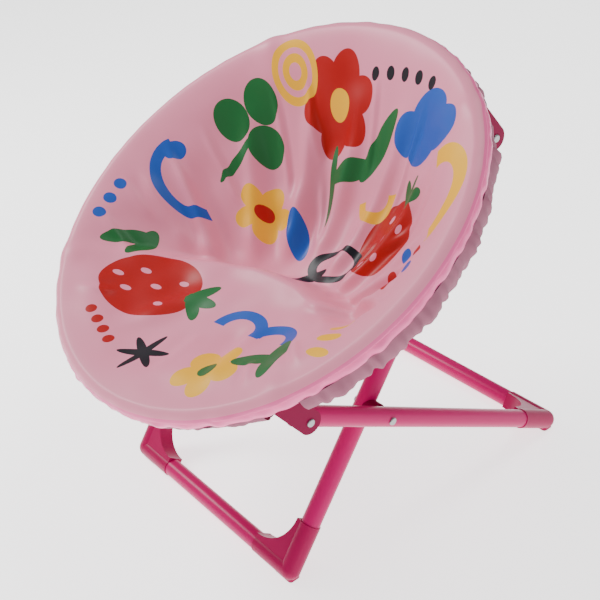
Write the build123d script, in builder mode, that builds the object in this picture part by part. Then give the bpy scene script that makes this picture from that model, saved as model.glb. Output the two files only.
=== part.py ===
"""Child's folding moon chair: a hinged round rim on two crossing U-shaped legs, with a padded cloth seat.

Millimetres, +Z up. The sitter faces -Y, the sitter's left hand is +X.
"""
import os
from math import atan2, cos, degrees, exp, radians, sin, sqrt

from build123d import *

os.makedirs("parts", exist_ok=True)

# Rim
rim_radius = 250.0  # centre line of the rim tube
rim_tube = 16.0  # outside diameter of the rim tube
rim_wall = 1.2
rim_tilt = 29.5  # degrees, back edge up
rim_height = 362.0  # centre of the rim above the floor
hem_radius = 11.5  # outside of the cloth hem round the rim tube
hem_start = 74.0  # the hem is open this far each side of the rim hinge

# Legs
leg_tube = 22.0
leg_wall = 1.2
front_half_width = 147.0  # arm centre lines of the front leg
arm_end = 8.0  # the arm's tube goes this far past its pivot
arm_gap = 11.0  # space between crossing arms, filled by the spacer
rear_half_width = front_half_width + leg_tube + arm_gap
bar_height = 12.5  # floor bars, centre line above the floor
front_bar_back = -120.0  # floor bars measured from the rim centre
rear_bar_back = 268.0

# Pivots in the rim's own frame: along the rim toward the back, and out of the rim plane
front_pivot = (-0.608 * rim_radius, -58.0)
back_pivot = (0.792 * rim_radius, -50.0)
hinge_along = -0.16 * rim_radius

# Fasteners and fits
rivet_radius = 3.0
rivet_head = 4.4
rivet_head_height = 1.8
running = 0.05  # radial play of a rivet in a turning hole
side_play = 0.4  # sideways play between turning parts

# Corner feet
foot_skin = 1.0  # the foot stands this much proud of the tube
foot_reach = 56.0  # from the corner to the end of the foot along each tube
foot_round = 44.0  # inner curve of the corner
web_share = 0.86  # half thickness of the corner web against the sleeve radius
spigot = 18.0
spigot_play = 0.05
sole_length = 30.0
sole_width = 15.0
plug_cap = 2.5

# Brackets
ear_thick = 5.0
ear_round = 13.0
clip_wall = 4.0
clip_half_angle = 3.4  # degrees of rim under each clip
clip_shift = 3.0  # the clip sits outside the ear, clear of the leg arm

# Rim hinge
tongue_thick = 5.0
tongue_height = 15.0
tongue_reach = 46.0  # tube ends stop this far from the hinge pin
tongue_gap = 0.6  # half the play between the two tongues
tongue_flat = 26.0  # flat length from the pin

# Cloth seat
seat_radius = rim_radius - 7.0  # the layers end inside the hem
rim_lift = 12.4  # the printed face leaves the rim from its upper side
pocket_depth = 128.0
ledge_depth = 62.0
ridge_along = -0.192 * rim_radius  # ridge of the ledge on the middle line
ridge_sweep = 0.52 * rim_radius  # the ridge runs this much further forward at the sides
ridge_skew = 0.16  # the cloth has slipped: the ridge runs further back on the right
ridge_drop = 38.0  # front-to-back length of the drop behind the ridge
# Main folds of the cloth: two end points in shares of the rim radius, then height and half width in mm
seat_folds = (
    (-0.38, -0.24, -0.82, 0.10, 11.0, 10.0),
    (-0.28, -0.12, -0.66, 0.48, 9.0, 11.0),
    (-0.18, -0.02, -0.38, 0.74, 10.0, 12.0),
    (-0.04, 0.00, -0.10, 0.80, 7.0, 13.0),
    (0.12, -0.04, 0.22, 0.82, 9.0, 12.0),
    (0.25, -0.08, 0.54, 0.60, 10.0, 11.0),
    (0.34, -0.14, 0.78, 0.34, 8.0, 10.0),
    (0.38, -0.20, 0.89, 0.02, 11.0, 10.0),
    (-0.52, -0.24, -0.89, -0.06, 7.0, 10.0),
    (-0.12, -0.38, -0.30, -0.86, 4.0, 15.0),
    (0.28, -0.40, 0.48, -0.80, 5.0, 13.0),
)
cloth = 1.5
padding = 7.0
cloth_clear = 1.5  # room cut in the cloth round each bracket
seat_split = 1.0  # half the slit where the two halves of the cloth meet

leg_radius = leg_tube / 2
rim_tube_radius = rim_tube / 2
tilt = radians(rim_tilt)
foot_radius = leg_radius + foot_skin

# The box of the whole chair is centred on the origin front to back
front_most = -rim_radius * cos(tilt) - hem_radius
back_most = rear_bar_back + foot_radius
rim_y = -(front_most + back_most) / 2
front_bar_y = rim_y + front_bar_back
rear_bar_y = rim_y + rear_bar_back


def rim_point(along, out):
    """Side-view point (y, z) of a place given in the rim's own frame."""
    return (
        rim_y + along * cos(tilt) - out * sin(tilt),
        rim_height + along * sin(tilt) + out * cos(tilt),
    )


front_pivot_yz = rim_point(*front_pivot)
back_pivot_yz = rim_point(*back_pivot)
front_foot_yz = (front_bar_y, bar_height)
rear_foot_yz = (rear_bar_y, bar_height)


def unit(start, end):
    length = sqrt((end[0] - start[0]) ** 2 + (end[1] - start[1]) ** 2)
    return ((end[0] - start[0]) / length, (end[1] - start[1]) / length), length


front_dir, front_length = unit(front_foot_yz, back_pivot_yz)
rear_dir, rear_length = unit(rear_foot_yz, front_pivot_yz)
cross_den = front_dir[0] * rear_dir[1] - front_dir[1] * rear_dir[0]
gap_y = rear_foot_yz[0] - front_foot_yz[0]
gap_z = rear_foot_yz[1] - front_foot_yz[1]
cross_along = (gap_y * rear_dir[1] - gap_z * rear_dir[0]) / cross_den
cross_yz = (front_foot_yz[0] + front_dir[0] * cross_along, front_foot_yz[1] + front_dir[1] * cross_along)

rim_place = Location(Plane(origin=(0, rim_y, rim_height), x_dir=(1, 0, 0), z_dir=(0, -sin(tilt), cos(tilt))))


def save(part, name):
    part.label = name
    export_step(part, f"parts/{name}.step")


def save_on_rim(part, name):
    save(rim_place * part, name)


def mirrored(part):
    return mirror(part, about=Plane.YZ)


def across(x, yz):
    """Plane facing sideways (+X) at a side-view point."""
    return Plane(origin=(x, yz[0], yz[1]), x_dir=(0, 1, 0), z_dir=(1, 0, 0))


# Floor bars
for bar_name, half_width, bar_y in (
    ("front_floor_bar", front_half_width, front_bar_y),
    ("rear_floor_bar", rear_half_width, rear_bar_y),
):
    with BuildPart() as floor_bar:
        with BuildSketch(Plane(origin=(0, bar_y, bar_height), x_dir=(0, 1, 0), z_dir=(1, 0, 0))):
            Circle(leg_radius)
            Circle(leg_radius - leg_wall, mode=Mode.SUBTRACT)
        extrude(amount=half_width - foot_reach, both=True)
    save(floor_bar.part, bar_name)


def build_arm(half_width, foot_yz, arm_dir, length, pivot_yz):
    """Left arm tube from the corner foot to its pivot, drilled for both rivets."""
    start = foot_yz[0] + arm_dir[0] * foot_reach, foot_yz[1] + arm_dir[1] * foot_reach
    with BuildPart() as arm:
        axis = Plane(origin=(half_width, start[0], start[1]), x_dir=(1, 0, 0), z_dir=(0, arm_dir[0], arm_dir[1]))
        with BuildSketch(axis):
            Circle(leg_radius)
            Circle(leg_radius - leg_wall, mode=Mode.SUBTRACT)
        extrude(amount=length - foot_reach + arm_end)
        for hole in (cross_yz, pivot_yz):
            with BuildSketch(across(half_width, hole)):
                Circle(rivet_radius + running)
            extrude(amount=leg_tube, both=True, mode=Mode.SUBTRACT)
    return arm.part


def build_plug(half_width, foot_yz, arm_dir, length):
    """Push-in cap that closes the top of the left arm."""
    top = length + arm_end
    end = foot_yz[0] + arm_dir[0] * top, foot_yz[1] + arm_dir[1] * top
    with BuildPart() as plug:
        axis = Plane(origin=(half_width, end[0], end[1]), x_dir=(1, 0, 0), z_dir=(0, arm_dir[0], arm_dir[1]))
        with BuildSketch(axis):
            Circle(leg_radius)
        extrude(amount=plug_cap)
        fillet(plug.faces().sort_by(Axis((0, 0, 0), (0, arm_dir[0], arm_dir[1])))[-1].edges(), plug_cap * 0.6)
        with BuildSketch(axis):
            Circle(leg_radius - leg_wall - spigot_play)
        extrude(amount=-arm_end / 2)
    return plug.part


def build_foot(half_width, foot_yz, arm_dir):
    """Left moulded corner: two sleeves, a curved web in the inner corner and a flat sole."""
    corner = (half_width, foot_yz[0], foot_yz[1])
    corner_plane = Plane(
        origin=corner, x_dir=(-1, 0, 0), z_dir=(0, arm_dir[1], -arm_dir[0])
    )
    tube_fit = leg_radius - leg_wall - spigot_play
    inner = foot_reach - foot_round
    mid = foot_reach - foot_round * sqrt(0.5)
    up = 1 if corner_plane.y_dir.Z > 0 else -1
    with BuildPart() as foot:
        Sphere(foot_radius)
        with BuildSketch(Plane(origin=(0, 0, 0), x_dir=(0, 1, 0), z_dir=(-1, 0, 0))):
            Circle(foot_radius)
        extrude(amount=foot_reach)
        with BuildSketch(Plane(origin=(-foot_reach, 0, 0), x_dir=(0, 1, 0), z_dir=(-1, 0, 0))):
            Circle(tube_fit)
        extrude(amount=spigot)
        arm_plane = Plane(origin=(0, 0, 0), x_dir=(1, 0, 0), z_dir=(0, arm_dir[0], arm_dir[1]))
        with BuildSketch(arm_plane):
            Circle(foot_radius)
        extrude(amount=foot_reach)
        with BuildSketch(arm_plane.offset(foot_reach)):
            Circle(tube_fit)
        extrude(amount=spigot)
        web_plane = Plane(origin=(0, 0, 0), x_dir=(-1, 0, 0), z_dir=corner_plane.z_dir)
        with BuildSketch(web_plane):
            with BuildLine():
                Polyline((inner, up * foot_reach), (0, up * foot_reach), (0, 0), (foot_reach, 0), (foot_reach, up * inner))
                ThreePointArc((foot_reach, up * inner), (mid, up * mid), (inner, up * foot_reach))
            make_face()
        extrude(amount=foot_radius * web_share, both=True)
        with BuildSketch(Plane.XY.offset(-bar_height)):
            with Locations((-sole_length / 2 + foot_radius * 0.6, 0)):
                RectangleRounded(sole_length, sole_width, 4)
        extrude(amount=bar_height)
        with BuildSketch(Plane.XY.offset(-bar_height)):
            Rectangle(6 * foot_reach, 6 * foot_reach)
        extrude(amount=-4 * foot_radius, mode=Mode.SUBTRACT)
    return Location(corner) * foot.part


for side, half_width, foot_yz, arm_dir, length, pivot_yz in (
    ("front", front_half_width, front_foot_yz, front_dir, front_length, back_pivot_yz),
    ("rear", rear_half_width, rear_foot_yz, rear_dir, rear_length, front_pivot_yz),
):
    left_arm = build_arm(half_width, foot_yz, arm_dir, length, pivot_yz)
    left_plug = build_plug(half_width, foot_yz, arm_dir, length)
    left_foot = build_foot(half_width, foot_yz, arm_dir)
    save(left_arm, f"{side}_arm_left")
    save(mirrored(left_arm), f"{side}_arm_right")
    save(left_foot, f"{side}_foot_left")
    save(mirrored(left_foot), f"{side}_foot_right")
    save(Compound([left_plug, mirrored(left_plug)]), f"{side}_arm_plugs")


def build_rivet(yz, inner_x, outer_x):
    """Rivet along X with a domed head at each end; the faces under the heads are at the given x."""
    with BuildPart() as rivet:
        with BuildSketch(across(inner_x - rivet_head_height, yz)):
            Circle(rivet_radius)
        extrude(amount=outer_x - inner_x + 2 * rivet_head_height)
        for face_x, way in ((inner_x, -1), (outer_x, 1)):
            with BuildSketch(across(face_x, yz)):
                Circle(rivet_head)
            extrude(amount=way * rivet_head_height)
        heads = rivet.faces().filter_by(Axis.X).sort_by(Axis.X)
        fillet([heads[0].edges()[0], heads[-1].edges()[0]], rivet_head_height * 0.8)
    return rivet.part


# Scissor rivets and the spacers between the crossing arms
scissor = build_rivet(cross_yz, front_half_width - leg_radius, rear_half_width + leg_radius + side_play / 2)
save(Compound([scissor, mirrored(scissor)]), "scissor_rivets")

with BuildPart() as spacer:
    with BuildSketch(across(front_half_width, cross_yz)):
        Circle(leg_radius * 0.85)
        Circle(rivet_radius + running, mode=Mode.SUBTRACT)
    extrude(amount=leg_radius + arm_gap - side_play)
    with BuildSketch(
        Plane(
            origin=(front_half_width, cross_yz[0], cross_yz[1]),
            x_dir=(1, 0, 0),
            z_dir=(0, front_dir[0], front_dir[1]),
        )
    ):
        Circle(leg_radius)
    extrude(amount=2 * leg_tube, both=True, mode=Mode.SUBTRACT)
save(Compound([spacer.part, mirrored(spacer.part)]), "scissor_spacers")


# Rim brackets, built in the rim's own frame
def ear_place(arm_x, pivot):
    """Inner face of the ear, the point where it crosses the rim and the rim angle there."""
    ear_inner = arm_x + leg_radius + side_play
    ear_middle = ear_inner + ear_thick / 2
    way = 1 if pivot[0] > 0 else -1
    crossing = way * sqrt(rim_radius**2 - ear_middle**2)
    clip_x = ear_middle + clip_shift
    return ear_inner, crossing, degrees(atan2(way * sqrt(rim_radius**2 - clip_x**2), clip_x))


def build_bracket(arm_x, pivot, grow=0.0):
    """Left bracket: a clip round the rim tube with a rounded ear outside the leg arm."""
    ear_inner, crossing, clip_angle = ear_place(arm_x, pivot)
    half_angle = clip_half_angle + grow * 0.3
    slot_length = sqrt((crossing - pivot[0]) ** 2 + pivot[1] ** 2)
    slot_turn = degrees(atan2(pivot[1], pivot[0] - crossing))
    slot_middle = ((crossing + pivot[0]) / 2, pivot[1] / 2, 0)
    with BuildPart() as bracket:
        with BuildSketch(Plane.XZ.rotated((0, 0, clip_angle - half_angle))):
            with Locations((rim_radius, 0)):
                Circle(rim_tube_radius + clip_wall + grow)
        revolve(axis=Axis.Z, revolution_arc=2 * half_angle)
        with BuildSketch(Plane(origin=(ear_inner - grow, 0, 0), x_dir=(0, 1, 0), z_dir=(1, 0, 0))):
            with Locations(Location(slot_middle, (0, 0, slot_turn))):
                SlotCenterToCenter(slot_length, 2 * (ear_round + grow))
        extrude(amount=ear_thick + 2 * grow)
        with BuildSketch(Plane(origin=(ear_inner - grow, 0, 0), x_dir=(0, 1, 0), z_dir=(1, 0, 0))):
            Rectangle(3 * rim_radius, 3 * rim_radius)
        extrude(amount=-rim_radius, mode=Mode.SUBTRACT)
        if not grow:
            with BuildSketch(Plane.XZ):
                with Locations((rim_radius, 0)):
                    Circle(rim_tube_radius)
            revolve(axis=Axis.Z, mode=Mode.SUBTRACT)
            with BuildSketch(Plane(origin=(ear_inner, *pivot), x_dir=(0, 1, 0), z_dir=(1, 0, 0))):
                Circle(rivet_radius)
            extrude(amount=2 * ear_thick, both=True, mode=Mode.SUBTRACT)
    return bracket.part


for side, arm_x, pivot in (
    ("front", rear_half_width, front_pivot),
    ("back", front_half_width, back_pivot),
):
    left_bracket = build_bracket(arm_x, pivot)
    save_on_rim(left_bracket, f"{side}_bracket_left")
    save_on_rim(mirrored(left_bracket), f"{side}_bracket_right")

# The back bracket rivet goes through the front leg's arm; the front one stops at the arm (open pivot)
back_ear = front_half_width + leg_radius + side_play + ear_thick
back_rivet = build_rivet(back_pivot, front_half_width - leg_radius - side_play / 2, back_ear)
save_on_rim(Compound([back_rivet, mirrored(back_rivet)]), "back_bracket_rivets")

front_ear = rear_half_width + leg_radius + side_play
with BuildPart() as front_rivet:
    with BuildSketch(across(front_ear, front_pivot)):
        Circle(rivet_radius)
    extrude(amount=ear_thick + rivet_head_height)
    with BuildSketch(across(front_ear + ear_thick, front_pivot)):
        Circle(rivet_head)
    extrude(amount=rivet_head_height)
    fillet(front_rivet.faces().sort_by(Axis.X)[-1].edges(), rivet_head_height * 0.8)
save_on_rim(Compound([front_rivet.part, mirrored(front_rivet.part)]), "front_bracket_rivets")

# Rim halves: a bent tube each, with flattened ends that lap at the hinge
hinge_x = sqrt(rim_radius**2 - hinge_along**2)


def build_rim(way):
    """Half of the rim; way is -1 for the front half and +1 for the back half."""
    tube_end = hinge_along + way * tongue_reach
    end_angle = degrees(atan2(tube_end, sqrt(rim_radius**2 - tube_end**2)))
    tongue_x = hinge_x + way * (tongue_gap + tongue_thick / 2)
    flat_end = hinge_along + way * tongue_flat
    hole = rivet_radius + (running if way < 0 else 0.0)
    with BuildPart() as rim:
        with BuildSketch(Plane.XZ.rotated((0, 0, end_angle if way > 0 else 180 - end_angle))):
            with Locations((rim_radius, 0)):
                Circle(rim_tube_radius)
                Circle(rim_tube_radius - rim_wall, mode=Mode.SUBTRACT)
        revolve(axis=Axis.Z, revolution_arc=180 - 2 * end_angle if way > 0 else 180 + 2 * end_angle)
        for hand in (1, -1):
            end_x = sqrt(rim_radius**2 - tube_end**2)
            along = (hand * way * tube_end / rim_radius, -way * end_x / rim_radius, 0)
            with BuildSketch(Plane(origin=(hand * end_x, tube_end, 0), x_dir=(0, 0, 1), z_dir=along)):
                Circle(rim_tube_radius)
            with BuildSketch(Plane(origin=(hand * tongue_x, flat_end, 0), x_dir=(0, 0, 1), z_dir=(0, -way, 0))):
                Rectangle(tongue_height, tongue_thick)
            loft()
            with BuildSketch(Plane(origin=(hand * tongue_x, 0, 0), x_dir=(0, 1, 0), z_dir=(1, 0, 0))):
                with Locations(((flat_end + hinge_along) / 2, 0)):
                    Rectangle(tongue_flat, tongue_height)
                with Locations((hinge_along, 0)):
                    Circle(tongue_height / 2)
            extrude(amount=tongue_thick / 2, both=True)
        with BuildSketch(Plane(origin=(0, hinge_along, 0), x_dir=(0, 1, 0), z_dir=(1, 0, 0))):
            Circle(hole)
        extrude(amount=2 * rim_radius, both=True, mode=Mode.SUBTRACT)
    return rim.part


save_on_rim(build_rim(-1), "rim_front")
save_on_rim(build_rim(1), "rim_back")
tongue_outer = tongue_gap + tongue_thick
hinge_rivet = build_rivet((hinge_along, 0), hinge_x - tongue_outer - side_play / 2, hinge_x + tongue_outer)
save_on_rim(Compound([hinge_rivet, mirrored(hinge_rivet)]), "hinge_rivets")

# Cloth: the printed face, the padding and the lining are layers of one dish.
# The front panel is a padded ledge; behind its ridge the cloth drops into a pocket and climbs the back.
def ease(share):
    """Smooth step from 0 to 1."""
    share = min(1.0, max(0.0, share))
    return share * share * (3 - 2 * share)


def seat_depth(x, along):
    """Depth of the unfolded cloth below the rim plane."""
    edge = max(0.0, 1 - (x * x + along * along) / rim_radius**2)
    ledge = ledge_depth * edge**1.1
    pocket = pocket_depth * edge**1.35
    ridge = ridge_along - ridge_sweep * (x / rim_radius) ** 2 + ridge_skew * x
    return ledge + (pocket - ledge) * ease((along - ridge) / ridge_drop)


def fold_height(x, along, fold):
    """Height that one fold adds: a ridge with a shallow valley on one side, fading at both ends."""
    start_x, start_along, end_x, end_along = [share * rim_radius for share in fold[:4]]
    height, width = fold[4:]
    run_x, run_along = end_x - start_x, end_along - start_along
    length = sqrt(run_x**2 + run_along**2)
    share = ((x - start_x) * run_x + (along - start_along) * run_along) / length**2
    side = ((x - start_x) * run_along - (along - start_along) * run_x) / length
    fade = ease(share / 0.25 + 0.2) * ease((1 - share) / 0.35)
    return height * fade * (exp(-((side / width) ** 2)) - 0.55 * exp(-(((side / width - 1.6) / 1.3) ** 2)))


def seat_height(x, along):
    """Height of the printed face above the rim plane."""
    radius = sqrt(x * x + along * along) / rim_radius
    folds = sum(fold_height(x, along, fold) for fold in seat_folds)
    return rim_lift * ease((radius - 0.55) / 0.35) - seat_depth(x, along) + folds * ease((1 - radius) / 0.2)


def build_half(upper, lower, way):
    """Front (-1) or back (+1) half of one layer of the dish, between two depths below the printed face."""
    near = hinge_along + way * seat_split
    far = way * rim_radius
    rows, columns = (41 if way > 0 else 31), 61
    points = []
    for row in range(rows):
        along = near + (far - near) * row / (rows - 1)
        line = []
        for column in range(columns):
            x = rim_radius * (2 * column / (columns - 1) - 1)
            line.append((x, along, seat_height(x, along) - upper))
        points.append(line)
    face = Face.make_surface_from_array_of_points([[Vector(*p) for p in line] for line in points], tol=0.2)
    with BuildPart() as half:
        extrude(to_extrude=face, amount=lower - upper, dir=(0, 0, -1))
        with BuildSketch():
            Circle(seat_radius)
        extrude(amount=rim_radius, both=True, mode=Mode.INTERSECT)
        with BuildSketch(Plane.XZ):
            with Locations((rim_radius, 0)):
                Circle(hem_radius)
        revolve(axis=Axis.Z, mode=Mode.SUBTRACT)
        with Locations((hinge_x, hinge_along, 0), (-hinge_x, hinge_along, 0)):
            Box(58, 2 * tongue_reach + 26, 80, mode=Mode.SUBTRACT)
        arm_x, pivot = (rear_half_width, front_pivot) if way < 0 else (front_half_width, back_pivot)
        clear_of = build_bracket(arm_x, pivot, cloth_clear)
        add([clear_of, mirrored(clear_of)], mode=Mode.SUBTRACT)
    return half.part


def build_hem(way):
    """Sleeve of cloth round the rim tube, open at the brackets."""
    tube_end = hinge_along + way * hem_start
    end_angle = degrees(atan2(tube_end, sqrt(rim_radius**2 - tube_end**2)))
    arm_x, pivot = (rear_half_width, front_pivot) if way < 0 else (front_half_width, back_pivot)
    clip_angle = ear_place(arm_x, pivot)[2]
    notch = clip_half_angle + cloth_clear * 0.3
    with BuildPart() as hem:
        with BuildSketch(Plane.XZ.rotated((0, 0, end_angle if way > 0 else 180 - end_angle))):
            with Locations((rim_radius, 0)):
                Circle(hem_radius)
                Circle(rim_tube_radius, mode=Mode.SUBTRACT)
        revolve(axis=Axis.Z, revolution_arc=180 - 2 * end_angle if way > 0 else 180 + 2 * end_angle)
        for middle in (clip_angle, 180 - clip_angle):
            with BuildSketch(Plane.XZ.rotated((0, 0, middle - notch))):
                with Locations((rim_radius, 0)):
                    Circle(hem_radius + 2)
            revolve(axis=Axis.Z, revolution_arc=2 * notch, mode=Mode.SUBTRACT)
    return hem.part


for layer, upper, lower in (
    ("seat_cloth", 0.0, cloth),
    ("seat_padding", cloth, cloth + padding),
    ("seat_lining", cloth + padding, 2 * cloth + padding),
):
    save_on_rim(build_half(upper, lower, -1), f"{layer}_front")
    save_on_rim(build_half(upper, lower, 1), f"{layer}_back")
save_on_rim(build_hem(-1), "hem_front")
save_on_rim(build_hem(1), "hem_back")
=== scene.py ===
from collections import namedtuple
from math import cos, pi, radians, sin

import bpy
import numpy as np
from mathutils import Matrix, Vector


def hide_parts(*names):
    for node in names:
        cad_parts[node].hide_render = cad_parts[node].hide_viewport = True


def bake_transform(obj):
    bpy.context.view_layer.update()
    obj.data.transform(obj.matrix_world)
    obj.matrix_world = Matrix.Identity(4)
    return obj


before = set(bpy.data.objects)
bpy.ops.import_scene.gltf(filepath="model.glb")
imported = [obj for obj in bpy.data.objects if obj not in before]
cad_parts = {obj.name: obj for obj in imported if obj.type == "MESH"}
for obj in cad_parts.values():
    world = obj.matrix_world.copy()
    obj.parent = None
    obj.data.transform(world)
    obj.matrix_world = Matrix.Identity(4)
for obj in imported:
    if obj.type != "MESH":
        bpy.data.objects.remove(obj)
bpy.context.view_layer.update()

# Rim frame: centre, direction toward the back along the rim, and the rim's normal (metres)
RIM_TILT = radians(29.5)
RIM_CENTRE = np.array([0.0, -0.0254555, 0.362])
ALONG = np.array([0.0, cos(RIM_TILT), sin(RIM_TILT)])
NORMAL = np.array([0.0, -sin(RIM_TILT), cos(RIM_TILT)])
RIM_RADIUS = 0.250
HINGE_ALONG = -0.040
BRACKET_TURNS = (-38.6, -141.4, 49.5, 130.5)  # degrees round the rim

# Seat form, the same as the CAD layers
POCKET_DEPTH = 0.128
LEDGE_DEPTH = 0.062
RIDGE_ALONG = -0.048
RIDGE_SWEEP = 0.130
RIDGE_DROP = 0.038
RIDGE_SKEW = 0.16  # the cloth has slipped a little: the ridge runs further back on the right
PAD_THICK = 0.0098
CLOTH_THICK = 0.0022  # without padding, where the cloth goes over the rim
UNDER_SWELL = 0.001  # the padding is thicker by this, more or less
PAD_END, PAD_TAPER = 0.229, 0.010  # the padding thins out from this radius, over this width
EDGE_SHARE = 0.2  # folds and ripples fade out over this share of the radius
WRAP_RADIUS = 0.0136  # the top cloth goes over the rim on this radius
WRAP_END = 62.0  # degrees past the top of the rim where the cloth ends
PIPING_START = 40.0  # degrees past the top where its satin edge begins
CLIP_RADIUS = 0.241  # the bracket's clip lifts the cloth here
CLIP_REACH = 0.013
CLIP_LIFT, CLIP_WRAP_LIFT, CLIP_HEM_LIFT = 0.0032, 0.0020, 0.0007

# Hem and skirt
HEM_RADIUS = 0.0122
HEM_FROM, HEM_TO = -172.0, 34.0  # degrees round the rim's section: the hem goes under the rim
HEM_LIP = 0.0008  # its upper edge stands out to meet the cloth
SKIRT_OPEN = 4.2  # degrees left open on each side of a bracket
SKIRT_END = 6.0  # degrees over which it flattens toward a bracket
SKIRT_DRAWN = 0.0012  # the gathers draw it in
# From the hem inward: radius and height (mm), the same at the front, where it is drawn in under the hem,
# and the share of the gathers
SKIRT_ROWS = (
    (261.8, -3.0, 261.8, -3.0, 0.0),
    (263.6, -8.5, 261.5, -6.7, 0.6),
    (264.0, -15.0, 258.5, -10.2, 0.9),
    (262.2, -21.5, 254.5, -12.5, 1.0),
    (259.0, -27.5, 250.5, -13.5, 1.0),
    (254.5, -33.0, 245.5, -15.5, 1.0),
    (249.0, -37.5, 239.5, -18.5, 1.0),
    (242.0, -40.5, 232.5, -22.0, 0.9),
    (233.0, -42.0, 224.5, -26.2, 0.8),
    (223.0, -42.5, 215.5, -30.8, 0.6),
    (212.0, -42.5, 206.0, -35.2, 0.4),
    (201.0, -42.0, 196.0, -40.0, 0.3),
)

# Reach either side of the hinge for each soft piece
SEAT_BEND, HEM_BEND, SKIRT_BEND = 0.075, 0.040, 0.040

# Mesh steps
INNER_RINGS, WRAP_RINGS, SPOKES = 116, 14, 420
HEM_STEPS, HEM_AROUND = 720, 26
SKIRT_STEPS = 3  # columns for each degree

# Print: the flat cloth in square zones (mm)
CLOTH = 500.0
ZONES = 4
ZONE_SIZE = CLOTH / ZONES
PRINT_MARGIN = 4.0

# Camera fitted to the photo: place, and turns in degrees
CAMERA_SPOT = (0.82313, -0.57345, 0.85575)
CAMERA_AZIMUTH, CAMERA_ELEVATION, CAMERA_ROLL = -35.6398, 31.9900, -6.9501
CAMERA_SENSOR = 36.0
CAMERA_LENS = 61.3836

rng = np.random.default_rng(7)


def rim_point(x, along, out):
    x, along, out = np.broadcast_arrays(x, along, out)
    return RIM_CENTRE + np.stack([x, 0 * x, 0 * x], -1) + along[..., None] * ALONG + out[..., None] * NORMAL


def smooth(t):
    t = np.clip(t, 0, 1)
    return t * t * (3 - 2 * t)


class Ripple:
    """Smooth noise of a given height from a sum of sine waves in random directions."""

    def __init__(self, wavelength, count, height):
        turn = rng.uniform(0, 2 * pi, count)
        k = 2 * pi / (wavelength * rng.uniform(0.7, 1.5, count))
        self.kx, self.ky = k * np.cos(turn), k * np.sin(turn)
        self.phase = rng.uniform(0, 2 * pi, count)
        self.height = height / np.sqrt(count / 2)

    def __call__(self, x, y):
        angle = x[..., None] * self.kx + y[..., None] * self.ky + self.phase
        return self.height * np.sin(angle).sum(-1)


seat_wide, seat_fine = Ripple(0.16, 9, 0.0026), Ripple(0.055, 14, 0.0009)
seat_below = Ripple(0.075, 12, UNDER_SWELL)
edge_swell = Ripple(0.03, 9, 0.0003)
hem_pucker, hem_slow = Ripple(0.022, 10, 0.0005), Ripple(0.09, 6, 0.0003)
skirt_gather, skirt_sag = Ripple(0.012, 14, 0.0016), Ripple(0.05, 8, 0.0010)


def add_object(name, mesh):
    obj = bpy.data.objects.new(name, mesh)
    bpy.context.scene.collection.objects.link(obj)
    return obj


def mesh_object(name, verts, faces, looks, slots=None):
    mesh = bpy.data.meshes.new(name)
    mesh.from_pydata([tuple(v) for v in verts], [], faces)
    for look in looks:
        mesh.materials.append(look)
    if slots is not None:
        mesh.polygons.foreach_set("material_index", slots)
    mesh.polygons.foreach_set("use_smooth", [True] * len(mesh.polygons))
    mesh.update()
    return add_object(name, mesh)


# Materials
def material(name, colour, roughness, grain, metallic=0.0, shine=0.5):
    """Plain material; grain is the scale, strength and depth of its bump."""
    m = bpy.data.materials.new(name)
    m.use_nodes = True
    tree = m.node_tree
    surface = tree.nodes["Principled BSDF"]
    surface.inputs["Base Color"].default_value = (*colour, 1)
    surface.inputs["Roughness"].default_value = roughness
    surface.inputs["Metallic"].default_value = metallic
    surface.inputs["Specular IOR Level"].default_value = shine
    scale, strength, depth = grain
    place = tree.nodes.new("ShaderNodeTexCoord")
    noise = tree.nodes.new("ShaderNodeTexNoise")
    noise.inputs["Scale"].default_value = scale
    bump = tree.nodes.new("ShaderNodeBump")
    bump.inputs["Strength"].default_value = strength
    bump.inputs["Distance"].default_value = depth
    tree.links.new(place.outputs["Object"], noise.inputs["Vector"])
    tree.links.new(noise.outputs["Fac"], bump.inputs["Height"])
    tree.links.new(bump.outputs["Normal"], surface.inputs["Normal"])
    return m


PINK = (0.86, 0.275, 0.40)
frame_paint = material("frame_paint", (0.50, 0.002, 0.12), 0.30, (900, 0.05, 0.0002), shine=0.15)
foot_plastic = material("foot_plastic", (0.36, 0.002, 0.075), 0.36, (500, 0.06, 0.0003), shine=0.14)
bracket_plastic = material("bracket_plastic", (0.20, 0.001, 0.04), 0.42, (700, 0.08, 0.0003), shine=0.08)
rivet_steel = material("rivet_steel", (0.36, 0.38, 0.375), 0.4, (1500, 0.1, 0.0002), metallic=1.0)
hem_satin = material("hem_satin", (0.90, 0.14, 0.36), 0.34, (420, 0.25, 0.0006), shine=0.3)
# Lining colour: the cloth's own grey-pink, darkened past it as painted shade for the skirt and underside seen
# in shadow below the rim
seat_lining = material("seat_lining", (0.31, 0.11, 0.165), 0.7, (1100, 0.2, 0.0004), shine=0.12)
seat_prints = [
    material(f"seat_print_{column}{row}", PINK, 0.42, (1400, 0.12, 0.0003), shine=0.28)
    for column in range(ZONES)
    for row in range(ZONES)
]

# The first word that a node's name holds gives its material
LOOKS = (
    ("rivets", rivet_steel),
    ("bracket", bracket_plastic),
    ("spacer", bracket_plastic),
    ("foot", foot_plastic),
    ("plug", foot_plastic),
    ("seat_lining", seat_lining),
    ("seat", seat_prints[0]),
    ("hem", hem_satin),
    ("", frame_paint),
)
for node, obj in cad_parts.items():
    obj.data.materials.clear()
    obj.data.materials.append(next(look for word, look in LOOKS if word in node))

# Print on the cloth: plain garden shapes in flat colours, places in mm on the flat cloth
RED, GREEN, BLUE = (0.42, 0.003, 0.003), (0.010, 0.135, 0.032), (0.012, 0.085, 0.44)
YELLOW, BLACK = (0.92, 0.47, 0.010), (0.005, 0.005, 0.010)
Shape = namedtuple("Shape", "kind x y across up turn tint width")
shapes = []


def blob(x, y, across, up, turn, tint):
    shapes.append(Shape("blob", x, y, across, up, turn, tint, 0))


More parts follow.
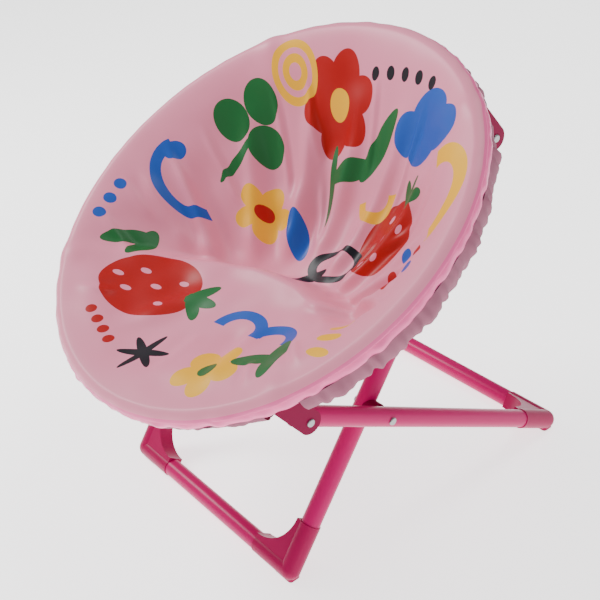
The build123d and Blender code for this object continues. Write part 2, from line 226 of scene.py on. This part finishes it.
def ring(x, y, across, up, turn, width, tint):
    shapes.append(Shape("ring", x, y, across, up, turn, tint, width))


def arc(x, y, across, up, turn, width, tint):
    shapes.append(Shape("arc", x, y, across, up, turn, tint, width))


def blossom(x, y, reach, petal, count, tint, heart):
    for k in range(count):
        turn = 90 + 360 * k / count
        side, rise = reach * cos(radians(turn)), reach * sin(radians(turn))
        blob(x + side, y + rise, petal, petal * 0.82, turn, tint)
    blob(x, y, petal * 0.62, petal * 0.62, 0, heart)


def berry(x, y, size, turn):
    c, s = size * cos(radians(turn)), size * sin(radians(turn))
    blob(x, y, size, size * 0.8, turn, RED)
    blob(x - 0.45 * c, y - 0.45 * s, size * 0.62, size * 0.55, turn, RED)
    for du, dv in ((0.45, 0.3), (0.4, -0.35), (0.02, 0.02), (-0.4, 0.28), (-0.45, -0.25), (-0.8, 0.0)):
        blob(x + du * c - dv * s, y + du * s + dv * c, size * 0.11, size * 0.06, turn, PINK)
    for leaf in (turn - 50, turn, turn + 50):
        leaf_x = x + 0.92 * c + size * 0.22 * cos(radians(leaf))
        leaf_y = y + 0.92 * s + size * 0.22 * sin(radians(leaf))
        blob(leaf_x, leaf_y, size * 0.36, size * 0.13, leaf, GREEN)


# Back of the seat
blossom(-52, 172, 27, 23, 6, RED, YELLOW)
blob(-34, 96, 44, 6, 108, GREEN)
blob(-14, 118, 28, 11, 35, GREEN)
for dx, dy, size in ((-30, -6, 24), (0, 8, 31), (32, -4, 26), (2, -12, 30)):
    blob(98 + dx, 172 + dy, size, size * 0.8, 0, BLUE)
arc(172, 96, 44, 40, -60, 0.22, YELLOW)
for k in range(6):
    blob(178 + 26 * cos(radians(60 * k)), 18 + 26 * sin(radians(60 * k)), 7, 7, 0, RED if k % 2 else BLUE)
berry(88, 62, 46, 70)
ring(30, 18, 34, 20, 20, 0.2, BLACK)
blob(6, -8, 26, 7, 40, BLACK)
for dx, dy in ((0, 24), (-22, -12), (22, -12)):
    blob(-150 + dx, 108 + dy, 21, 21, 0, GREEN)
blob(-148, 62, 34, 5, 84, GREEN)
ring(-118, 178, 26, 26, 0, 0.16, YELLOW)
ring(-118, 178, 12, 12, 0, 0.35, YELLOW)
arc(-176, 8, 40, 34, 150, 0.16, BLUE)
blob(-205, 24, 14, 10, 60, BLUE)
blossom(-96, 30, 20, 15, 5, YELLOW, RED)
blob(-48, 30, 30, 12, -50, BLUE)
for k in range(5):
    blob(-8 + 24 * k, 214 - 1.2 * (k - 2) ** 2, 6, 6, 0, BLACK)
blob(20, 150, 40, 12, 62, GREEN)
arc(40, 104, 24, 24, 200, 0.24, YELLOW)

# Front of the seat
berry(-88, -128, 58, 14)
arc(52, -118, 30, 24, 8, 0.26, BLUE)
arc(108, -112, 28, 22, 8, 0.28, BLUE)
blossom(92, -172, 22, 17, 5, YELLOW, GREEN)
blob(150, -126, 30, 11, 120, GREEN)
blob(128, -138, 26, 9, 30, GREEN)
for turn in (30, 95, 160):
    blob(-6, -196, 30, 5, turn, BLACK)
blob(-176, -98, 24, 9, 60, GREEN)
blob(-158, -92, 24, 9, 110, GREEN)
for k in range(4):
    blob(-104 + 17 * k, -192 - 5 * k, 6, 6, 0, RED)
for k in range(3):
    blob(186 + 9 * k, -62 - 20 * k, 15, 6, 35 - 12 * k, YELLOW)
for k in range(3):
    blob(-222 + 5 * k, -50 - 22 * k, 7, 7, 0, BLUE)


def math_node(tree, operation, value, other=None):
    """Math node fed by one socket, and by a number or a second socket."""
    node = tree.nodes.new("ShaderNodeMath")
    node.operation = operation
    tree.links.new(value, node.inputs[0])
    if isinstance(other, bpy.types.NodeSocket):
        tree.links.new(other, node.inputs[1])
    elif other is not None:
        node.inputs[1].default_value = other
    return node.outputs[0]


def shape_mask(tree, flat_place, shape):
    """Socket that is 1 inside a shape: an ellipse, a ring or the upper half of a ring."""
    mapping = tree.nodes.new("ShaderNodeMapping")
    mapping.vector_type = "TEXTURE"
    mapping.inputs["Location"].default_value = (shape.x / 1000, shape.y / 1000, 0)
    mapping.inputs["Rotation"].default_value = (0, 0, radians(shape.turn))
    mapping.inputs["Scale"].default_value = (shape.across / 1000, shape.up / 1000, 1)
    tree.links.new(flat_place, mapping.inputs["Vector"])
    length = tree.nodes.new("ShaderNodeVectorMath")
    length.operation = "LENGTH"
    tree.links.new(mapping.outputs["Vector"], length.inputs[0])
    if shape.kind == "blob":
        return math_node(tree, "LESS_THAN", length.outputs["Value"], 1.0)
    off_line = math_node(tree, "ABSOLUTE", math_node(tree, "SUBTRACT", length.outputs["Value"], 1.0))
    mask = math_node(tree, "LESS_THAN", off_line, shape.width)
    if shape.kind == "arc":
        split = tree.nodes.new("ShaderNodeSeparateXYZ")
        tree.links.new(mapping.outputs["Vector"], split.inputs[0])
        mask = math_node(tree, "MULTIPLY", mask, math_node(tree, "GREATER_THAN", split.outputs["Y"], 0.0))
    return mask


def print_shapes(look, near):
    """Lays flat-coloured shapes one after the other over a material's base colour."""
    tree = look.node_tree
    flat_place = tree.nodes.new("ShaderNodeAttribute")
    flat_place.attribute_name = "flat"
    colour = None
    for shape in near:
        mix = tree.nodes.new("ShaderNodeMix")
        mix.data_type = "RGBA"
        below, above = [s for s in mix.inputs if s.type == "RGBA"]
        below.default_value = (*PINK, 1)
        above.default_value = (*shape.tint, 1)
        tree.links.new(shape_mask(tree, flat_place.outputs["Vector"], shape), mix.inputs["Factor"])
        if colour is not None:
            tree.links.new(colour, below)
        colour = next(s for s in mix.outputs if s.type == "RGBA")
    if colour is not None:
        tree.links.new(colour, tree.nodes["Principled BSDF"].inputs["Base Color"])


def reaches(shape, low_x, low_y):
    reach = max(shape.across, shape.up) * (1 + shape.width) + PRINT_MARGIN
    gap_x = max(low_x - shape.x, 0, shape.x - low_x - ZONE_SIZE)
    gap_y = max(low_y - shape.y, 0, shape.y - low_y - ZONE_SIZE)
    return gap_x**2 + gap_y**2 < reach**2


# Each zone of the cloth carries only the shapes that reach into it
for zone, look in enumerate(seat_prints):
    low_x, low_y = (step * ZONE_SIZE - CLOTH / 2 for step in divmod(zone, ZONES))
    print_shapes(look, [shape for shape in shapes if reaches(shape, low_x, low_y)])

# Main folds, as in the CAD layers, then sharper creases: two end points, height and half width (mm)
FOLDS = (
    (-95, -60, -205, 25, 11, 10),
    (-70, -30, -165, 120, 9, 11),
    (-45, -5, -95, 185, 10, 12),
    (-10, 0, -25, 200, 7, 13),
    (30, -10, 55, 205, 9, 12),
    (62.5, -20, 135, 150, 10, 11),
    (85, -35, 195, 85, 8, 10),
    (95, -50, 222.5, 5, 11, 10),
    (-130, -60, -222.5, -15, 7, 10),
    (-30, -95, -75, -215, 4, 15),
    (70, -100, 120, -200, 5, 13),
    (-120, 20, -200, 70, 3.5, 4),
    (-80, 60, -150, 165, 3.5, 4),
    (-60, 110, -110, 190, 3, 4),
    (10, 120, -5, 220, 3, 4),
    (70, 90, 85, 200, 3.5, 4),
    (100, 50, 170, 130, 3.5, 4),
    (130, 10, 215, 60, 3.5, 4),
    (120, -20, 225, -25, 4, 4.5),
    (-140, -20, -225, 30, 3.5, 4),
    (60, 5, 80, 70, 4, 5),
    (-20, 30, -60, 110, 4, 5),
    (-150, -110, -222, -90, 3.5, 5),
    (150, -100, 205, -125, 4, 5),
    (-175, -60, -232, -40, 3, 5),
    (-110, -160, -150, -185, 2.5, 5),
    (130, -140, 165, -170, 3, 5),
    (20, -140, 40, -215, 2, 8),
)


def fold(x, along, ends_and_size):
    """Soft crease from one point to another: a ridge with a hollow beside it that fades at both ends."""
    ax, ay, bx, by, height, width = np.array(ends_and_size) / 1000
    dx, dy = bx - ax, by - ay
    t = ((x - ax) * dx + (along - ay) * dy) / (dx * dx + dy * dy)
    side = ((x - ax) * dy - (along - ay) * dx) / np.hypot(dx, dy) / width
    fade = smooth(t / 0.25 + 0.2) * smooth((1 - t) / 0.35)
    return height * fade * (np.exp(-(side**2)) - 0.55 * np.exp(-(((side - 1.6) / 1.3) ** 2)))


def seat_depth(x, along):
    edge = np.clip(1 - (x * x + along * along) / RIM_RADIUS**2, 0, 1)
    ledge = LEDGE_DEPTH * edge**1.1
    pocket = POCKET_DEPTH * edge**1.35
    ridge = RIDGE_ALONG - RIDGE_SWEEP * (x / RIM_RADIUS) ** 2 + RIDGE_SKEW * x
    return ledge + (pocket - ledge) * smooth((along - ridge) / RIDGE_DROP)


def clip_bulge(x, along, radius):
    """1 over each bracket's clip, at a given radius, and 0 away from them."""
    out = 0
    for turn in np.radians(BRACKET_TURNS):
        away = np.hypot(x - radius * cos(turn), along - radius * sin(turn))
        out = out + np.exp(-((away / CLIP_REACH) ** 2))
    return out


def seat_top(x, along):
    share = np.hypot(x, along) / RIM_RADIUS
    relief = seat_wide(x, along) + seat_fine(x, along) + sum(fold(x, along, f) for f in FOLDS)
    out = WRAP_RADIUS * smooth((share - 0.55) / 0.35) - seat_depth(x, along)
    out += smooth((1 - share) / EDGE_SHARE) * relief
    return out + CLIP_LIFT * clip_bulge(x, along, CLIP_RADIUS)


def seat_under(x, along, top):
    radius = np.hypot(x, along)
    inner = smooth((1 - radius / RIM_RADIUS) / EDGE_SHARE)
    padded = np.minimum(top, -seat_depth(x, along)) - PAD_THICK
    padded -= inner * (UNDER_SWELL + seat_below(x, along))
    over_rim = np.sqrt(np.maximum((WRAP_RADIUS - CLOTH_THICK) ** 2 - (RIM_RADIUS - radius) ** 2, 0))
    return padded + (over_rim - padded) * smooth((radius - PAD_END) / PAD_TAPER)


def seat_points():
    """Rings of the printed face and of the lining below it: across, along and out from the rim's plane."""
    radii = RIM_RADIUS * np.linspace(0, 1, INNER_RINGS + 1)[1:] ** 0.8  # closer rings toward the rim
    turns = np.linspace(0, 2 * pi, SPOKES, endpoint=False)
    inner_r, inner_turn = np.meshgrid(radii, turns, indexing="ij")
    wraps = np.radians(np.linspace(0, WRAP_END, WRAP_RINGS + 1)[1:])
    wrap, wrap_turn = np.meshgrid(wraps, turns, indexing="ij")
    wrap_r = WRAP_RADIUS + np.sin(wrap) * edge_swell(wrap_turn * RIM_RADIUS, 0.01 * wrap)
    rim_x, rim_along = RIM_RADIUS * np.cos(wrap_turn), RIM_RADIUS * np.sin(wrap_turn)
    wrap_r += CLIP_WRAP_LIFT * clip_bulge(rim_x, rim_along, RIM_RADIUS)
    turn = np.concatenate([inner_turn, wrap_turn])
    layers = []
    for section in (wrap_r, wrap_r - CLOTH_THICK):
        radius = np.concatenate([inner_r, RIM_RADIUS + section * np.sin(wrap)])
        x = np.append(0.0, (radius * np.cos(turn)).ravel())
        along = np.append(0.0, (radius * np.sin(turn)).ravel())
        layers.append([x, along, np.append(np.zeros(1 + inner_r.size), (section * np.cos(wrap)).ravel())])
    inside = slice(0, 1 + inner_r.size)
    x, along = layers[0][0][inside], layers[0][1][inside]
    layers[0][2][inside] = seat_top(x, along)
    layers[1][2][inside] = seat_under(x, along, layers[0][2][inside])
    return layers


def seat_faces(count):
    """Faces of both layers and of the edge between them, each with its layer: 0 print, 1 lining, 2 piping."""
    rings = INNER_RINGS + WRAP_RINGS
    piping_from = INNER_RINGS + int(WRAP_RINGS * PIPING_START / WRAP_END)
    around = [(j, (j + 1) % SPOKES) for j in range(SPOKES)]
    faces, kinds = [], []
    for layer in (0, 1):
        first = layer * count + 1
        sides = [(first - 1, first + j, first + k) for j, k in around]
        kinds += [layer] * SPOKES
        for i in range(rings - 1):
            a = first + i * SPOKES
            sides += [(a + j, a + SPOKES + j, a + SPOKES + k, a + k) for j, k in around]
            kinds += [2 if i >= piping_from else layer] * SPOKES
        faces += [side[::-1] for side in sides] if layer else sides
    last = 1 + (rings - 1) * SPOKES
    faces += [(last + j, count + last + j, count + last + k, last + k) for j, k in around]
    kinds += [2] * SPOKES
    return faces, kinds


def print_zone(x, along):
    column, row = (min(int((v * 1000 + CLOTH / 2) / ZONE_SIZE), ZONES - 1) for v in (x, along))
    return ZONES * column + row


# Cloth seat: one padded piece, printed above and lined below
face_side, lining_side = seat_points()
xs, us = face_side[:2]
faces, kinds = seat_faces(len(xs))
slots = []
for face, kind in zip(faces, kinds):
    if kind:
        slots.append(len(seat_prints) + kind - 1)
    else:
        slots.append(print_zone(np.mean(xs[list(face)]), np.mean(us[list(face)])))
verts = np.concatenate([rim_point(*face_side), rim_point(*lining_side)])
seat = mesh_object("seat_pad", verts, faces, [*seat_prints, seat_lining, hem_satin], slots)
flat_place = np.stack([xs, us, 0 * xs], -1).astype(np.float32)
flat = seat.data.attributes.new("flat", "FLOAT_VECTOR", "POINT")
flat.data.foreach_set("vector", np.concatenate([flat_place, flat_place]).ravel())
seat_layers = [f"seat_{layer}_{end}" for layer in ("cloth", "padding", "lining") for end in ("front", "back")]
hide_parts(*seat_layers)


# Hem: satin sleeve round the rim, puckered along its length
def hem_mesh():
    turns = np.linspace(0, 2 * pi, HEM_STEPS, endpoint=False)
    turn, side = np.meshgrid(turns, np.radians(np.linspace(HEM_FROM, HEM_TO, HEM_AROUND)), indexing="ij")
    length, degrees = turn * RIM_RADIUS, np.degrees(side)
    loose = 1 - smooth((degrees - 8) / 16)  # no puckers where it goes under the cloth's edge
    radius = HEM_RADIUS + loose * (hem_pucker(length, 0.006 * np.cos(side)) + hem_slow(length, 0 * length))
    radius += HEM_LIP * smooth((degrees + 30) / 40)
    for bracket in BRACKET_TURNS:
        away = (np.degrees(turn) - bracket + 180) % 360 - 180
        radius += CLIP_HEM_LIFT * smooth((6.5 - np.abs(away)) / 2)
    across = RIM_RADIUS + radius * np.cos(side)
    verts = rim_point(across * np.cos(turn), across * np.sin(turn), radius * np.sin(side)).reshape(-1, 3)
    faces = []
    for i in range(HEM_STEPS):
        a, b = i * HEM_AROUND, (i + 1) % HEM_STEPS * HEM_AROUND
        faces += [(a + j, b + j, b + j + 1, a + j + 1) for j in range(HEM_AROUND - 1)]
    return verts, faces


hem = mesh_object("hem_sleeve", *hem_mesh(), [hem_satin])
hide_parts("hem_front", "hem_back")


# Skirt: gathered lining below the hem, in four lengths that leave the brackets open
skirt_r, skirt_n, front_r, front_n = np.array(SKIRT_ROWS).T[:4] / 1000
skirt_gathers = np.array(SKIRT_ROWS).T[4]


def skirt_points(start, end):
    turns = np.radians(np.linspace(start, end, int((end - start) * SKIRT_STEPS)))
    turn, drop = np.meshgrid(turns, np.linspace(0, 1, len(SKIRT_ROWS)), indexing="ij")
    length = turn * RIM_RADIUS
    near_end = smooth(np.minimum(turn - turns[0], turns[-1] - turn) / radians(SKIRT_END))
    front = smooth((-np.sin(turn) - 0.60) / 0.22)
    full = 0.7 + 0.3 * near_end
    gathers = skirt_gathers * (1 - 0.6 * front)
    swell = skirt_gather(length, 0.008 * drop) + skirt_sag(length, 0.02 * drop) - SKIRT_DRAWN
    radius = skirt_r[0] + (skirt_r + (front_r - skirt_r) * front - skirt_r[0]) * full
    radius += gathers * swell * near_end
    height = skirt_n[0] + (skirt_n + (front_n - skirt_n) * front - skirt_n[0]) * full
    height += 1.2 * gathers * skirt_sag(length, 0.3 + drop)
    return rim_point(radius * np.cos(turn), radius * np.sin(turn), height).reshape(-1, 3)


skirt_verts, skirt_faces, skirt_length = [], [], 0.0
rows = len(SKIRT_ROWS)
brackets = sorted(turn % 360 for turn in BRACKET_TURNS)
for start, end in zip(brackets, brackets[1:] + [brackets[0] + 360]):
    start, end = start + SKIRT_OPEN, end - SKIRT_OPEN
    points = skirt_points(start, end)
    for a in range(len(skirt_verts), len(skirt_verts) + len(points) - rows, rows):
        skirt_faces += [(a + j, a + j + 1, a + rows + j + 1, a + rows + j) for j in range(rows - 1)]
    skirt_verts.extend(points)
    skirt_length += radians(end - start) * RIM_RADIUS
# The skirt's colour is the lining's grey-pink, darkened partly as painted shade
skirt = mesh_object("seat_skirt", skirt_verts, skirt_faces, [seat_lining])


# The soft pieces' transforms are baked into their meshes
def across_hinge(piece, reach):
    start, end = (rim_point(0.0, HINGE_ALONG + step, 0.0) for step in (reach, -reach))
    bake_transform(piece)


across_hinge(seat, SEAT_BEND)
across_hinge(hem, HEM_BEND)
across_hinge(skirt, SKIRT_BEND)

# Stage: pale floor, soft light, camera at the photo's angle
FLOOR_HALF = 6.0
FLOOR_GLOW, SKY_GLOW = 1.9, 0.42
floor_white = material("floor_white", (0.93, 0.93, 0.93), 0.8, (40, 0.02, 0.001))
floor_surface = floor_white.node_tree.nodes["Principled BSDF"]
floor_surface.inputs["Emission Color"].default_value = (1, 1, 1, 1)
floor_surface.inputs["Emission Strength"].default_value = FLOOR_GLOW
corners = [(FLOOR_HALF * x, FLOOR_HALF * y, 0) for x, y in ((-1, -1), (1, -1), (1, 1), (-1, 1))]
floor = mesh_object("floor", corners, [(0, 1, 2, 3)], [floor_white])

world = bpy.data.worlds.new("studio")
bpy.context.scene.world = world
world.use_nodes = True
world.node_tree.nodes["Background"].inputs["Color"].default_value = (1, 1, 1, 1)
world.node_tree.nodes["Background"].inputs["Strength"].default_value = SKY_GLOW


def area_light(name, place, aim, size, power):
    light = bpy.data.lights.new(name, "AREA")
    light.shape = "DISK"
    light.size = size
    light.energy = power
    lamp = add_object(name, light)
    lamp.location = place
    lamp.rotation_euler = (Vector(aim) - Vector(place)).to_track_quat("-Z", "Y").to_euler()


area_light("key", (-1.5, -0.7, 1.7), (0, 0, 0.3), 0.8, 42)
area_light("fill", (1.9, -0.9, 1.1), (0, 0, 0.25), 1.4, 7)
area_light("top", (0.2, 0.9, 2.2), (0, 0, 0.3), 0.9, 12)

lens = bpy.data.cameras.new("camera")
lens.sensor_width = CAMERA_SENSOR
lens.lens = CAMERA_LENS
camera = add_object("camera", lens)
camera.matrix_world = (
    Matrix.Translation(CAMERA_SPOT)
    @ Matrix.Rotation(radians(90 + CAMERA_AZIMUTH), 4, "Z")
    @ Matrix.Rotation(radians(90 - CAMERA_ELEVATION), 4, "X")
    @ Matrix.Rotation(radians(CAMERA_ROLL), 4, "Z")
)
bpy.context.scene.camera = camera
